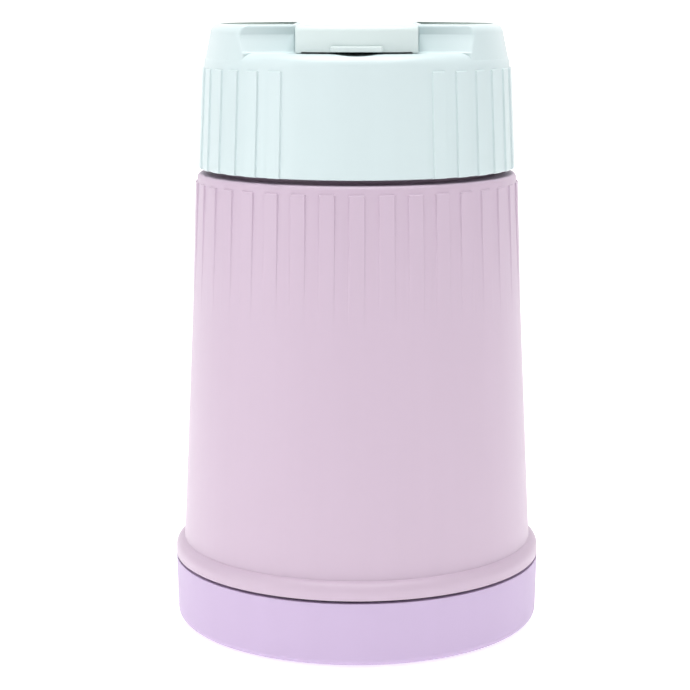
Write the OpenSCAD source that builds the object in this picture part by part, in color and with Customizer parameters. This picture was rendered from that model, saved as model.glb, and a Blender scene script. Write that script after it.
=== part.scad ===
// Hand-shaken ice cream maker: an insulated jar with an ice and salt chamber that opens at the base,
// a metal canister for the mix under a screw lid, and a folding spoon under a hinged cover in the lid.
// Millimetres, +Z up. The origin is the centre of the base, on the surface that the jar stands on.
// The front, with the cover's thumb lip, faces -Y.

/* [Base] */
// Outer radius of the base cup and of the bead above it
base_r = 54.1; // [48:0.01:65]
// Height of the base cup's rim above the table
base_h = 18.9; // [17.4:0.01:24]
// Radius of the base cup's lower edge
base_edge_r = 2.4; // [1:0.1:5]
// How much narrower the base cup is at its lower edge
base_draft = 0.4; // [0:0.1:0.8]
// Wall thickness of the base cup
base_wall = 2.2; // [1.6:0.1:3]
// How far the foot pad stands proud of the base cup
foot_proud = 0.6; // [0.3:0.1:1.5]
// Thickness of the foot pad
foot_t = 1.7; // [1:0.1:2.2]
// Width of the foot pad's ring
foot_w = 9.2; // [6:0.1:12]
// Distance of the foot pad's middle from the side of the base cup
foot_inset = 11.4; // [8:0.1:14]
// Gap of the seam between base cup and jar
base_seam = 0.8; // [0.3:0.1:1.5]

/* [Jar] */
// Height of the jar's shell above the seam
jar_h = 113; // [92:0.1:150]
// Outer radius of the jar's wall at its top
jar_top_r = 46.2; // [45.6:0.01:56]
// How far the bead stands out from the foot of the jar's wall
bead_out = 2.3; // [1.5:0.1:4]
// Wall thickness of the shell
shell_wall = 2.2; // [1.6:0.1:3]
// Thickness of the foam sleeve
foam_t = 2.8; // [2:0.1:6]
// Thickness of the deck at the top of the shell
shell_deck_t = 2.4; // [1.6:0.1:3]
// Height of the bead at the jar's foot
bead_h = 5; // [4:0.1:10]
// Rounding of the bead's upper edge
bead_round = 3.2; // [2.6:0.1:3.5]
// Rounding of the shell's upper edge
jar_edge_r = 1.2; // [0.5:0.1:2]

/* [Ribs] */
// Number of ribs that would go all the way round
rib_count = 36; // [24:4:48]
// Width of a rib, as an angle about the axis
rib_angle = 5.2; // [3:0.1:6]
// Height of a rib at its top
rib_h = 0.5; // [0.2:0.05:1]
// Length of the jar's ribs
jar_rib_len = 37; // [20:1:60]
// Distance of the jar's ribs below its top edge
jar_rib_drop = 2.4; // [1.5:0.1:6]
// Half of the lid's smooth angle at the front, and again at the back
lid_smooth_angle = 27; // [5:1:60]
// Distance of the lid's ribs above its lower edge
lid_rib_rise = 0.4; // [0.2:0.1:3]

/* [Ice chamber and canister] */
// Wall thickness of the ice chamber
chamber_wall = 1.6; // [1.2:0.1:2.5]
// Width of the rim at the top of the ice chamber
chamber_rim_w = 2.6; // [1.5:0.1:3]
// Thickness of the ice chamber's two rims
chamber_rim_t = 2; // [1.2:0.1:2.5]
// Depth to which the ice chamber reaches into the base cup
chamber_reach = 8.9; // [8:0.1:8.9]
// Inner radius of the canister at its mouth
canister_r = 28; // [22:0.01:29]
// Depth of the canister
canister_depth = 90; // [60:1:110]
// Wall thickness of the canister
canister_wall = 0.9; // [0.6:0.1:1.5]
// How much narrower the canister is at its bottom
canister_draft = 2; // [0:0.1:4]
// Inner radius of the canister's lower corner
canister_corner = 4; // [1:0.5:8]
// Width of the canister's flange
canister_flange = 7; // [5:0.1:7.4]
// Thickness of the canister's flange
flange_t = 1.2; // [0.8:0.1:2]

/* [Neck and collar] */
// Height of the neck above the jar's top
neck_h = 15.3; // [13:0.1:22]
// Thickness of the web that carries the canister
neck_web_t = 2.5; // [1.5:0.1:4]
// Thickness of the neck's flange, under the jar's deck
neck_flange_t = 2.3; // [1.5:0.1:4]
// Wall thickness of the neck and of the base collar
collar_wall = 2; // [1.5:0.1:3]
// How far a thread land stands out
land_h = 0.4; // [0.2:0.1:0.8]
// Width of a thread land
land_w = 1.6; // [1:0.1:1.8]
// Distance between two lands of one thread
land_pitch = 4; // [3.8:0.1:5]
// Distance of the neck's first land above the lid's lower edge
neck_land_rise = 3; // [1:0.1:4]
// Depth to which the base collar reaches into the base cup
collar_reach = 9.9; // [9.5:0.1:10.6]

/* [Lid] */
// Gap between the jar's top and the lid
lid_gap = 1.5; // [0.6:0.1:2]
// Height of the lid from its lower edge to the ledge
lid_h = 33.5; // [31:0.1:45]
// How much narrower the lid's lower edge is than the jar's top
lid_inset = 0.85; // [0:0.05:2]
// How much narrower the lid's wall is at the shoulder
lid_draft = 1.6; // [0.5:0.1:3]
// Wall thickness of the lid
lid_wall = 2.2; // [1.6:0.1:2.6]
// Rounding of the lid's shoulder
shoulder_r = 3.7; // [2:0.1:5]
// Distance of the crown's foot from the line of the lid's wall
crown_inset = 0.7; // [0.4:0.1:2]
// Height of the crown above the ledge
crown_h = 7.6; // [6.5:0.1:12]
// How much narrower the crown is below its rounded edge than at its foot
crown_lean = 1; // [0:0.1:2]
// Rounding of the crown's upper edge
crown_round = 2.9; // [1:0.1:4]
// Half of the angle of the crown's opening at the front
bite_angle = 48; // [35:1:60]
// Distance of the crown's front walls behind the cover's front, beside the cover
bite_depth = 15.1; // [10:0.1:17]
// Wall thickness of the liner's sleeve and of its plug
liner_wall = 2; // [1.5:0.1:2.5]
// Thickness of the liner above the gasket
liner_deck_t = 1.8; // [1.2:0.1:2.5]
// Depth of the plug that reaches into the canister
plug_depth = 6; // [3:0.5:10]

/* [Spoon cover] */
// Width of the cover
cover_w = 33.2; // [29:0.01:40]
// Distance of the cover's curved front behind the lid's rounded shoulder
cover_setback = 0.6; // [0.4:0.1:2]
// Wall thickness of the cover
cover_wall = 1.8; // [1.2:0.1:2.5]
// Rounding of the cover's upper front edge
cover_round = 2; // [0.5:0.1:3]
// Gap between the cover and the ledge
cover_slot = 0.5; // [0.3:0.1:1]
// Gap between the cover and the crown, on each side
cover_side_gap = 0.3; // [0.2:0.05:0.6]
// Width of the thumb lip
lip_w = 14; // [8:0.5:20]
// Height of the thumb lip
lip_h = 1.6; // [1:0.1:2.5]
// How far the thumb lip stands out
lip_out = 1.4; // [0.5:0.1:2]
// Radius of the finger notch under the thumb lip
notch_r = 30; // [16:1:32]
// Depth of the finger notch
notch_depth = 0.6; // [0.3:0.1:1]
// How much nearer the hinge is to the axis than the cover's front
hinge_inset = 8.6; // [7.5:0.1:10]
// Distance of the hinge below the crown's top
hinge_drop = 3.8; // [3.4:0.1:4.4]
// Radius of the hinge pin
pin_r = 1; // [0.8:0.1:1.3]
// Running clearance of the pin in the cover
pin_clearance = 0.06; // [0.02:0.01:0.1]
// Depth to which each end of the pin reaches into the crown
pin_grip = 2.2; // [1.5:0.1:4]

/* [Spoon] */
// Gap between the spoon's bowl and each side of the bay
bowl_gap = 2.2; // [1:0.1:4]
// Length of the spoon's bowl
bowl_l = 36; // [30:0.5:40]
// Radius of the sphere that the bowl is pressed to
bowl_sphere_r = 40; // [35:1:80]
// Thickness of the spoon's steel
spoon_t = 1.2; // [0.8:0.1:1.5]
// Width of the spoon's handle
handle_w = 11; // [8:0.5:14]
// Length of the spoon's handle between the centres of its rounded ends
handle_l = 44; // [30:1:48]
// Radius of the spoon's rivet
rivet_r = 1.6; // [1:0.1:2.5]
// Depth of the spoon bay below the ledge
bay_depth = 6.2; // [5.6:0.1:7]
// Wall thickness of the spoon bay
bay_wall = 1.6; // [1:0.1:2]
// Distance of the bay's front behind the cover's front
bay_setback = 6.6; // [4:0.1:8]
// Distance of the bay's back in front of the hinge
bay_hinge_gap = 5.5; // [5:0.1:8]
// Distance of the spoon's bowl behind the bay's front
bowl_inset = 6; // [1:0.1:8]
// Distance of the spoon's rivet in front of the bay's back
pivot_inset = 6.5; // [6:0.1:9]

/* [Seals and fits] */
// Thickness of the lid and base gaskets
gasket_t = 2; // [1.5:0.1:3]
// Thickness of the flat seals at the neck
seal_t = 0.7; // [0.5:0.1:1.2]
// Clearance between a gasket and what it closes on
seal_gap = 0.15; // [0.1:0.05:0.3]
// Clearance between pieces that are assembled together
fit_gap = 0.2; // [0.1:0.05:0.4]
// Clearance between a gasket and the groove or plate that carries it
groove_gap = 0.1; // [0.05:0.05:0.2]
// Radial clearance between a thread land and the land that it meets
thread_gap = 0.4; // [0.2:0.05:0.6]

/* [Screws] */
// Number of screws in the base
screw_count = 3; // [3:1:6]
// Radius of a screw's shank
screw_r = 1.45; // [1:0.05:2]
// Radius of a screw's head
screw_head_r = 2.8; // [2.2:0.1:3.4]
// Height of a screw's head
screw_head_h = 1.5; // [1:0.1:1.8]

/* [Hidden] */

$fn = 96;
eps = 0.02;
arc_steps = 8;

// Small chamfer on moulded edges
chamfer = 0.3;
// How far a surface is sunk where it would only touch another one
sink = 0.05;

// Heights and radii of the outer pieces
jar_z = base_h + base_seam;
jar_foot_r = base_r - bead_out;
lid_foot_r = jar_top_r - lid_inset;
bead_top_z = jar_z + bead_h;
jar_top_z = jar_z + jar_h;
lid_z = jar_top_z + lid_gap;
ledge_z = lid_z + lid_h;
crown_z = ledge_z + crown_h;
rib_step = 360 / rib_count;

// Neck, canister and their seals
neck_top_z = jar_top_z + neck_h;
neck_flange_z = jar_top_z - shell_deck_t - neck_flange_t;
neck_bore_r = canister_r + canister_wall + fit_gap * 2;
neck_land_z = lid_z + neck_land_rise;
land_stagger = land_w * 1.2;
flange_z = neck_top_z + seal_t;
flange_r = canister_r + canister_flange;
canister_z = flange_z + flange_t - canister_depth;

// Ice chamber
chamber_top_z = neck_flange_z - seal_t;
chamber_z = jar_z - chamber_reach;
chamber_top_r = shell_inner_r(chamber_top_z) - foam_t;
chamber_foot_r = shell_inner_r(jar_z) - foam_t - fit_gap * 4;

// Base
collar_r = base_r - base_wall - land_h * 2 - thread_gap - fit_gap * 3;
collar_z = jar_z - collar_reach;
collar_shoulder_z = chamber_z + chamber_rim_t;
collar_top_z = bead_top_z - shell_wall;
collar_land_z = collar_z + 1;
cup_z = foot_proud;
cup_floor_z = cup_z + base_wall;
liner_plate_t = 1.8;
liner_z = chamber_z - seal_gap - gasket_t - groove_gap - liner_plate_t;
foot_mid_r = base_r - foot_inset;
base_gasket_r = collar_r - collar_wall - fit_gap * 2;
base_gasket_w = 5;
screw_z = foot_t + fit_gap;
cup_boss_r = screw_head_r + fit_gap + 1.15;
cup_boss_top = (cup_floor_z + liner_z) / 2;
screw_top_z = liner_z + liner_plate_t * 0.4;

// Lid
gasket_z = flange_z + flange_t + seal_gap;
gasket_in_r = canister_r + 0.8;
gasket_out_r = flange_r - 0.6;
liner_face_z = gasket_z + gasket_t / 2;
groove_z = gasket_z + gasket_t + groove_gap;
liner_top_z = groove_z + liner_deck_t;
liner_r = lid_wall_r(liner_top_z) - lid_wall - fit_gap;
liner_sleeve_r = liner_r - liner_wall;
neck_r = liner_sleeve_r - land_h * 2 - thread_gap;
plug_r = canister_r - fit_gap * 5;
shoulder_z = ledge_z - shoulder_r;
shoulder_wall_r = lid_wall_r(shoulder_z);
crown_foot_r = lid_wall_r(ledge_z) - crown_inset;

// Cover
cover_z = ledge_z + cover_slot;
cover_front_r = shoulder_wall_r - shoulder_r - cover_setback;
hinge_y = cover_front_r - hinge_inset;
hinge_z = crown_z - hinge_drop;
barrel_r = hinge_drop - fit_gap * 2;
channel_w = cover_w + cover_side_gap * 2;
bite_y = cover_front_r - bite_depth;
pin_l = channel_w + pin_grip * 2;

// Spoon bay
bay_z = ledge_z - bay_depth;
bay_front = bay_setback - cover_front_r;
bay_back = hinge_y - bay_hinge_gap;
bay_w = cover_w - 2 * cover_wall - fit_gap;
spoon_z = bay_z + fit_gap;
bowl_w = bay_w - 2 * bowl_gap;
bowl_y = bay_front + bowl_inset + bowl_l / 2;
pivot_y = bay_back - pivot_inset;
tang_z = spoon_z + bowl_depth();
handle_z = tang_z + spoon_t + fit_gap;
rivet_head_h = 0.7;
rivet_z = tang_z - rivet_head_h;
rivet_top_z = handle_z + spoon_t + rivet_head_h;

// Radius of the jar's tapered wall at height z
function jar_wall_r(z) = jar_foot_r + (jar_top_r - jar_foot_r) * (z - jar_z) / jar_h;

// Radius of the inner face of the jar's wall at height z
function shell_inner_r(z) = jar_wall_r(z) - shell_wall;

// Radius of the lid's tapered wall at height z
function lid_wall_r(z) = lid_foot_r - lid_draft * (z - lid_z) / lid_h;

// Depth of the spoon's bowl, from the sphere that it is pressed to
function bowl_depth() = bowl_sphere_r - sqrt(bowl_sphere_r ^ 2 - (bowl_l / 2) ^ 2);

// Points of an arc about c, from angle a0 to a1
function arc(c, r, a0, a1, n = arc_steps) =
    [for (i = [0:n]) let (a = a0 + (a1 - a0) * i / n) c + r * [cos(a), sin(a)]];

// A ring with a rectangular section
module ring(r_in, r_out, z, h) {
    translate([0, 0, z]) difference() {
        cylinder(r = r_out, h = h);
        translate([0, 0, -1]) cylinder(r = r_in, h = h + 2);
    }
}

// The ring sectors that stand out of a wall as ribs: section is the outline of one rib
module ribs(angles, section) {
    for (a = angles) {
        rotate(a - rib_angle / 2) rotate_extrude(angle = rib_angle) polygon(section);
    }
}

// Plain lands that stand in for a thread, at each height in zs
module lands(zs, r_in, r_out) {
    for (z = zs) {
        ring(r_in, r_out, z, land_w);
    }
}

// A flat bar with rounded ends, from y0 to y1, which are the centres of its ends
module rounded_bar(w, y0, y1, t) {
    translate([-w / 2, y0, 0]) cube([w, y1 - y0, t]);
    translate([0, y0, 0]) cylinder(r = w / 2, h = t);
    translate([0, y1, 0]) cylinder(r = w / 2, h = t);
}

module at_screws() {
    for (i = [0:screw_count - 1]) {
        rotate(360 * i / screw_count) translate([foot_mid_r, 0, 0]) children();
    }
}

// Jar

module shell_section() {
    fillet = 0.8;
    fillet_r = jar_wall_r(bead_top_z + fillet);
    bead_mid_r = base_r - bead_round;
    bead_end = acos((fillet_r + fillet / 8 - bead_mid_r) / bead_round);
    top = [jar_top_r - jar_edge_r, jar_top_z - jar_edge_r];
    opening_r = neck_r + fit_gap * 2;
    inner_top = jar_top_z - shell_deck_t;
    polygon(concat(
        [[base_r - chamfer, jar_z], [base_r, jar_z + chamfer]],
        arc([bead_mid_r, bead_top_z - bead_round * sin(bead_end)], bead_round, 0, bead_end),
        [[fillet_r + fillet / 16, bead_top_z + fillet / 4], [fillet_r, bead_top_z + fillet]],
        arc(top, jar_edge_r, 0, 90),
        [[opening_r, jar_top_z], [opening_r, inner_top], [shell_inner_r(inner_top), inner_top],
         [shell_inner_r(collar_top_z), collar_top_z], [collar_r + fit_gap, collar_top_z],
         [collar_r + fit_gap, jar_z]]
    ));
}

// Outline of one rib of the jar, which stands out at its top and runs into the wall at its lower end
function jar_rib_outline() =
    let (top = jar_top_z - jar_rib_drop, low = top - jar_rib_len, root = shell_wall / 2)
    [[jar_wall_r(low) - root, low], [jar_wall_r(low) - eps, low],
     [jar_wall_r(top) + rib_h, top], [jar_wall_r(top) - root, top]];

module outer_shell() {
    color([0.85, 0.77, 0.83]) {
        rotate_extrude() shell_section();
        ribs([for (i = [0:rib_count - 1]) i * rib_step - 90], jar_rib_outline());
    }
}

module jar_insulation() {
    top = chamber_top_z - chamber_rim_t - fit_gap;
    low = collar_top_z + fit_gap;
    color([0.96, 0.94, 0.86]) rotate_extrude() polygon([
        [chamber_r(low) + fit_gap, low], [shell_inner_r(low) - fit_gap, low],
        [shell_inner_r(top) - fit_gap, top], [chamber_r(top) + fit_gap, top]]);
}

// Outer radius of the ice chamber's wall at height z
function chamber_r(z) =
    chamber_foot_r + (chamber_top_r - chamber_foot_r) * (z - chamber_z) / (chamber_top_z - chamber_z);

module ice_chamber() {
    rim_r = collar_r - collar_wall - fit_gap;
    top_rim_z = chamber_top_z - chamber_rim_t;
    color([0.95, 0.97, 0.98]) {
        rotate_extrude() polygon([
            [chamber_foot_r - chamber_wall, chamber_z], [chamber_foot_r, chamber_z],
            [chamber_top_r, chamber_top_z], [chamber_top_r - chamber_wall, chamber_top_z]]);
        ring(chamber_foot_r - chamber_wall / 2, rim_r, chamber_z, chamber_rim_t);
        ring(chamber_top_r - chamber_wall / 2, chamber_top_r + chamber_rim_w, top_rim_z, chamber_rim_t);
    }
}

module base_collar() {
    color([0.15, 0.12, 0.15]) {
        ring(collar_r - collar_wall, collar_r, collar_z, collar_top_z - collar_z);
        ring(chamber_r(collar_shoulder_z) + fit_gap, collar_r - eps, collar_shoulder_z, collar_wall);
        lands([collar_land_z, collar_land_z + land_pitch], collar_r - eps, collar_r + land_h);
    }
}

module neck_ring() {
    tube_in = neck_r - collar_wall;
    flange_top = neck_flange_z + neck_flange_t;
    color([0.80, 0.70, 0.78]) {
        ring(tube_in, neck_r, neck_flange_z, neck_top_z - neck_flange_z);
        ring(neck_bore_r, neck_r - eps, neck_top_z - neck_web_t, neck_web_t);
        rotate_extrude() polygon([
            [tube_in + eps, neck_flange_z], [shell_inner_r(neck_flange_z) - fit_gap, neck_flange_z],
            [shell_inner_r(flange_top) - fit_gap, flange_top], [tube_in + eps, flange_top]]);
        lands([neck_land_z, neck_land_z + land_pitch], neck_r - eps, neck_r + land_h);
    }
}

module neck_seal() {
    color([0.75, 0.75, 0.77])
        ring(chamber_top_r - chamber_wall, chamber_top_r + chamber_rim_w, chamber_top_z, seal_t);
}

module canister() {
    foot_r = canister_r - canister_draft;
    corner = [foot_r - canister_corner, canister_z + canister_corner];
    color([0.82, 0.83, 0.85]) rotate_extrude() polygon(concat(
        [[0, canister_z - canister_wall]],
        arc(corner, canister_corner + canister_wall, -90, 0),
        [[canister_r + canister_wall, flange_z], [flange_r, flange_z], [flange_r, flange_z + flange_t],
         [canister_r, flange_z + flange_t]],
        arc(corner, canister_corner, 0, -90),
        [[0, canister_z]]
    ));
}

module canister_gasket() {
    color([0.75, 0.75, 0.77]) ring(neck_bore_r, flange_r, neck_top_z, seal_t);
}

// Lid

// Outline of the lid's outer surface, drawn in by t to give the inner one
function lid_outline(t) = concat(
    [[0, lid_z - (t > 0 ? 1 : 0)], [lid_wall_r(lid_z) - t, lid_z - (t > 0 ? 1 : 0)]],
    arc([shoulder_wall_r - shoulder_r, shoulder_z], shoulder_r - min(t, shoulder_r - 0.5), 0, 90),
    [[0, ledge_z - t]]
);

// The crown as a full disc, drawn in by t
module crown_disc(t) {
    top = crown_z - t;
    r = crown_foot_r - crown_lean - t;
    low_r = shoulder_wall_r - sink - t;
    rotate_extrude() polygon(concat(
        [[0, shoulder_z - 1], [low_r, shoulder_z - 1], [low_r, shoulder_z], [crown_foot_r - t, ledge_z]],
        arc([r - crown_round, top - crown_round], crown_round, 0, 90),
        [[0, top]]
    ));
}

// What the crown leaves open: the front between its two slanting walls, and the cover's channel
module crown_opening(t) {
    reach = lid_foot_r * 1.5;
    corner = [lid_foot_r * sin(bite_angle), -lid_foot_r * cos(bite_angle)];
    half = channel_w / 2;
    h = crown_h + 2 * t + 1;
    translate([0, 0, ledge_z - t]) {
        linear_extrude(h) polygon([
            [-corner[0], corner[1] + t], [-half, -bite_y + t], [half, -bite_y + t],
            [corner[0], corner[1] + t], [corner[0], -reach], [-corner[0], -reach]]);
        translate([-half - t, -reach, 0]) cube([channel_w + 2 * t, reach * 2, h]);
    }
}

module bay_box(grow, z, h) {
    w = bay_w + 2 * grow;
    translate([-w / 2, bay_front - grow, z]) cube([w, bay_back - bay_front + 2 * grow, h]);
}

module lid_ribs() {
    outline = let (low = lid_z + lid_rib_rise, top = shoulder_z - 1, root = lid_wall / 2)
        [[lid_wall_r(low) - root, low], [lid_wall_r(low) + rib_h, low],
         [lid_wall_r(top) + rib_h, top], [lid_wall_r(top) - root, top]];
    sides = [for (i = [0:rib_count - 1]) let (a = i * rib_step, off = min(a % 180, 180 - a % 180))
        if (off > lid_smooth_angle) a - 90];
    ribs(sides, outline);
}

module lid_shell() {
    notch_y = -cover_front_r - lip_out;
    color([0.88, 0.94, 0.94]) {
        difference() {
            union() {
                rotate_extrude() polygon(lid_outline(0));
                difference() {
                    crown_disc(0);
                    crown_opening(0);
                }
            }
            rotate_extrude() polygon(lid_outline(lid_wall));
            difference() {
                crown_disc(lid_wall);
                crown_opening(lid_wall);
            }
            bay_box(0, bay_z, bay_depth + 1);
            translate([0, hinge_y, hinge_z]) rotate([0, 90, 0])
                cylinder(r = pin_r + eps, h = pin_l + fit_gap * 2, center = true);
            translate([0, notch_y, ledge_z + notch_r - notch_depth]) sphere(r = notch_r);
        }
        difference() {
            bay_box(bay_wall, bay_z - bay_wall, bay_depth + bay_wall - eps);
            bay_box(0, bay_z, bay_depth + 1);
        }
        lid_ribs();
    }
}

module lid_liner() {
    face = liner_face_z;
    low = lid_z + 1;
    plug_z = face - plug_depth;
    groove_in = gasket_in_r - groove_gap;
    groove_out = gasket_out_r + groove_gap;
    well_r = plug_r - liner_wall;
    land_z = neck_land_z + land_stagger;
    color([0.93, 0.96, 0.97]) {
        rotate_extrude() polygon([
            [0, plug_z], [plug_r, plug_z], [plug_r, face], [groove_in, face], [groove_in, groove_z],
            [groove_out, groove_z], [groove_out, face], [liner_sleeve_r, face], [liner_sleeve_r, low],
            [liner_r, low], [liner_r, liner_top_z], [well_r, liner_top_z], [well_r, plug_z + liner_wall],
            [0, plug_z + liner_wall]]);
        lands([land_z, land_z + land_pitch], liner_sleeve_r - land_h, liner_sleeve_r + eps);
    }
}

module lid_insulation() {
    low = liner_top_z;
    top = ledge_z - lid_wall;
    well_floor = liner_face_z - plug_depth + liner_wall + fit_gap;
    color([0.96, 0.94, 0.86]) difference() {
        union() {
            translate([0, 0, low]) cylinder(r = shoulder_wall_r - shoulder_r - 0.5, h = top - low);
            translate([0, 0, well_floor])
                cylinder(r = plug_r - liner_wall - fit_gap, h = low - well_floor + eps);
        }
        bay_box(bay_wall + fit_gap, bay_z - bay_wall - fit_gap, bay_depth + bay_wall + 1);
    }
}

module lid_gasket() {
    color([0.80, 0.82, 0.83]) ring(gasket_in_r, gasket_out_r, gasket_z, gasket_t);
}

module cover_hinge_pin() {
    color([0.75, 0.76, 0.78]) translate([0, hinge_y, hinge_z]) rotate([0, 90, 0])
        cylinder(r = pin_r, h = pin_l, center = true);
}

// The space between the ledge and the crown's top, out to radius r, with a rounded upper edge
module cover_front(r, z, top, round) {
    edge = arc([r - round, top - round], round, 0, 90);
    rotate_extrude() polygon(concat([[0, z], [r, z]], edge, [[0, top]]));
}

module thumb_lip() {
    half = asin(lip_w / 2 / cover_front_r);
    root = cover_front_r - cover_wall / 2;
    r = cover_front_r + lip_out;
    round = 0.5;
    rotate(-90 - half) rotate_extrude(angle = half * 2) polygon(concat(
        [[root, cover_z], [r - chamfer, cover_z]],
        arc([r - round, cover_z + lip_h - round], round, 0, 90, 3),
        [[root, cover_z + lip_h]]
    ));
}

module spoon_cover() {
    inner_top = crown_z - cover_wall;
    inner_back = hinge_y - barrel_r - 1;
    inner_w = cover_w - 2 * cover_wall;
    reach = cover_front_r * 1.5;
    inner_round = 0.6;
    color([0.87, 0.93, 0.93]) difference() {
        union() {
            intersection() {
                cover_front(cover_front_r, cover_z, crown_z, cover_round);
                translate([-cover_w / 2, -reach, cover_z]) cube([cover_w, reach + hinge_y, crown_h]);
            }
            translate([0, hinge_y, hinge_z]) rotate([0, 90, 0])
                cylinder(r = barrel_r, h = cover_w, center = true);
            thumb_lip();
        }
        intersection() {
            cover_front(cover_front_r - cover_wall, cover_z - 1, inner_top, inner_round);
            translate([-inner_w / 2, -reach, cover_z - 1]) cube([inner_w, reach + inner_back, crown_h]);
        }
        translate([0, hinge_y, hinge_z]) rotate([0, 90, 0])
            cylinder(r = pin_r + pin_clearance, h = cover_w + 2, center = true);
        // Relief under the barrel, so that the cover can swing back past upright
        difference() {
            translate([-cover_w, hinge_y - barrel_r, cover_z - 1])
                cube([cover_w * 2, barrel_r * 2, hinge_z - cover_z + 1]);
            translate([0, hinge_y, hinge_z]) rotate([0, 90, 0])
                cylinder(r = barrel_r, h = cover_w * 2, center = true);
        }
    }
}

// Spoon

module spoon_bowl() {
    centre = [0, bowl_y, spoon_z + bowl_sphere_r];
    half = (bowl_l - bowl_w) / 2;
    dish_h = bowl_depth() + 1 + spoon_t;
    hole_h = rivet_top_z - rivet_z + 1;
    color([0.75, 0.76, 0.78]) {
        intersection() {
            difference() {
                translate(centre) sphere(r = bowl_sphere_r);
                translate(centre) sphere(r = bowl_sphere_r - spoon_t);
            }
            translate([0, 0, spoon_z - 1]) rounded_bar(bowl_w, bowl_y - half, bowl_y + half, dish_h);
        }
        difference() {
            translate([0, 0, tang_z]) rounded_bar(handle_w, bowl_y + half + 3, pivot_y, spoon_t);
            translate([0, pivot_y, rivet_z]) cylinder(r = rivet_r + eps, h = hole_h);
            translate(centre) sphere(r = bowl_sphere_r - spoon_t);
        }
    }
}

module spoon_handle() {
    color([0.75, 0.76, 0.78]) translate([0, 0, handle_z]) difference() {
        rounded_bar(handle_w, pivot_y - handle_l, pivot_y, spoon_t);
        translate([0, pivot_y, -1]) cylinder(r = rivet_r + eps, h = spoon_t + 2);
    }
}

module spoon_rivet() {
    color([0.75, 0.76, 0.78])
        translate([0, pivot_y, rivet_z]) cylinder(r = rivet_r, h = rivet_top_z - rivet_z);
}

// Base

module base_gasket() {
    color([0.80, 0.82, 0.83])
        ring(base_gasket_r - base_gasket_w, base_gasket_r, chamber_z - seal_gap - gasket_t, gasket_t);
}

module base_cup() {
    inner_r = base_r - base_wall;
    corner = [base_r - base_draft - base_edge_r, cup_z + base_edge_r];
    inner_corner = base_edge_r / 2;
    land_z = collar_land_z + land_stagger;
    boss_z = cup_floor_z - eps;
    color([0.83, 0.75, 0.86]) difference() {
        union() {
            rotate_extrude() polygon(concat(
                [[0, cup_z]],
                arc(corner, base_edge_r, -90, 0),
                [[base_r, base_h - chamfer], [base_r - chamfer, base_h], [inner_r, base_h]],
                arc([inner_r - inner_corner, cup_floor_z + inner_corner], inner_corner, 0, -90),
                [[0, cup_floor_z]]
            ));
            lands([land_z, land_z + land_pitch], inner_r - land_h, inner_r + eps);
            at_screws() translate([0, 0, boss_z]) cylinder(r = cup_boss_r, h = cup_boss_top - boss_z);
        }
        ring(foot_mid_r - foot_w / 2 - fit_gap, foot_mid_r + foot_w / 2 + fit_gap, -1, 1 + foot_t);
        at_screws() {
            cylinder(r = screw_head_r + fit_gap, h = screw_z + screw_head_h + eps);
            cylinder(r = screw_r + fit_gap, h = cup_boss_top + 1);
        }
    }
}

module base_liner() {
    lip_t = 1.2;
    lip_r = base_gasket_r - base_gasket_w - fit_gap;
    boss_h = liner_z - cup_boss_top + eps;
    color([0.93, 0.96, 0.97]) difference() {
        union() {
            translate([0, 0, liner_z]) cylinder(r = collar_r - collar_wall / 2, h = liner_plate_t);
            ring(lip_r - lip_t, lip_r, liner_z + liner_plate_t - eps, gasket_t / 2);
            at_screws() translate([0, 0, cup_boss_top]) cylinder(r = cup_boss_r, h = boss_h);
        }
        at_screws() cylinder(r = screw_r + eps, h = screw_top_z + fit_gap);
    }
}

module base_insulation() {
    low = cup_floor_z + fit_gap;
    color([0.96, 0.94, 0.86]) difference() {
        translate([0, 0, low]) cylinder(r = collar_r - collar_wall, h = liner_z - fit_gap - low);
        at_screws() cylinder(r = cup_boss_r + fit_gap, h = liner_z);
    }
}

module base_screws() {
    color([0.7, 0.7, 0.72]) at_screws() translate([0, 0, screw_z]) {
        cylinder(r = screw_head_r, h = screw_head_h);
        cylinder(r = screw_r, h = screw_top_z - screw_z);
    }
}

module foot_pad() {
    color([0.62, 0.52, 0.68]) ring(foot_mid_r - foot_w / 2, foot_mid_r + foot_w / 2, 0, foot_t);
}

outer_shell();
jar_insulation();
ice_chamber();
base_collar();
neck_ring();
neck_seal();
canister();
canister_gasket();
lid_gasket();
lid_shell();
lid_liner();
lid_insulation();
cover_hinge_pin();
spoon_bowl();
spoon_handle();
spoon_rivet();
spoon_cover();
base_gasket();
base_cup();
base_liner();
base_insulation();
base_screws();
foot_pad();
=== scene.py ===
"""Looks of the hand-shaken ice cream maker: moulded plastic, spun aluminium, silicone and foam.

Every length is in metres, and MM turns a millimetre into metres. Places and outer sizes come from
the frame, and the finer sizes repeat those of the CAD source.
"""

import math

import bmesh
import bpy
import numpy as np
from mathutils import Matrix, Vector


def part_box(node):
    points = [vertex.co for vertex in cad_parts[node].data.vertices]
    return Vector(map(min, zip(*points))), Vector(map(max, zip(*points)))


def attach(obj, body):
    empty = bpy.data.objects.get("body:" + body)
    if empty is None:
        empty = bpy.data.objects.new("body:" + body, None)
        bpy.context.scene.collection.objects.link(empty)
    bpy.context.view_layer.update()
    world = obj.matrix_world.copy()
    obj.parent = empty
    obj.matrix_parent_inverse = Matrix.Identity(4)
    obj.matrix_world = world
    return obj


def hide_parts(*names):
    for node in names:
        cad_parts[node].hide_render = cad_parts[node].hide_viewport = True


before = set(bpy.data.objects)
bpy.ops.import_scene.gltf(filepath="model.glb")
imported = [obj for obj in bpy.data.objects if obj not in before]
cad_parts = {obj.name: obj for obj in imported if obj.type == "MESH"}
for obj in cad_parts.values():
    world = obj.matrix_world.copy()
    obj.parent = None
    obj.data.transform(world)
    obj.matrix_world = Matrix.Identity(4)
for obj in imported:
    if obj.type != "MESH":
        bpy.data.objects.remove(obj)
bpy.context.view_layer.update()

MM = 0.001
FRONT = -math.pi / 2


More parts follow.
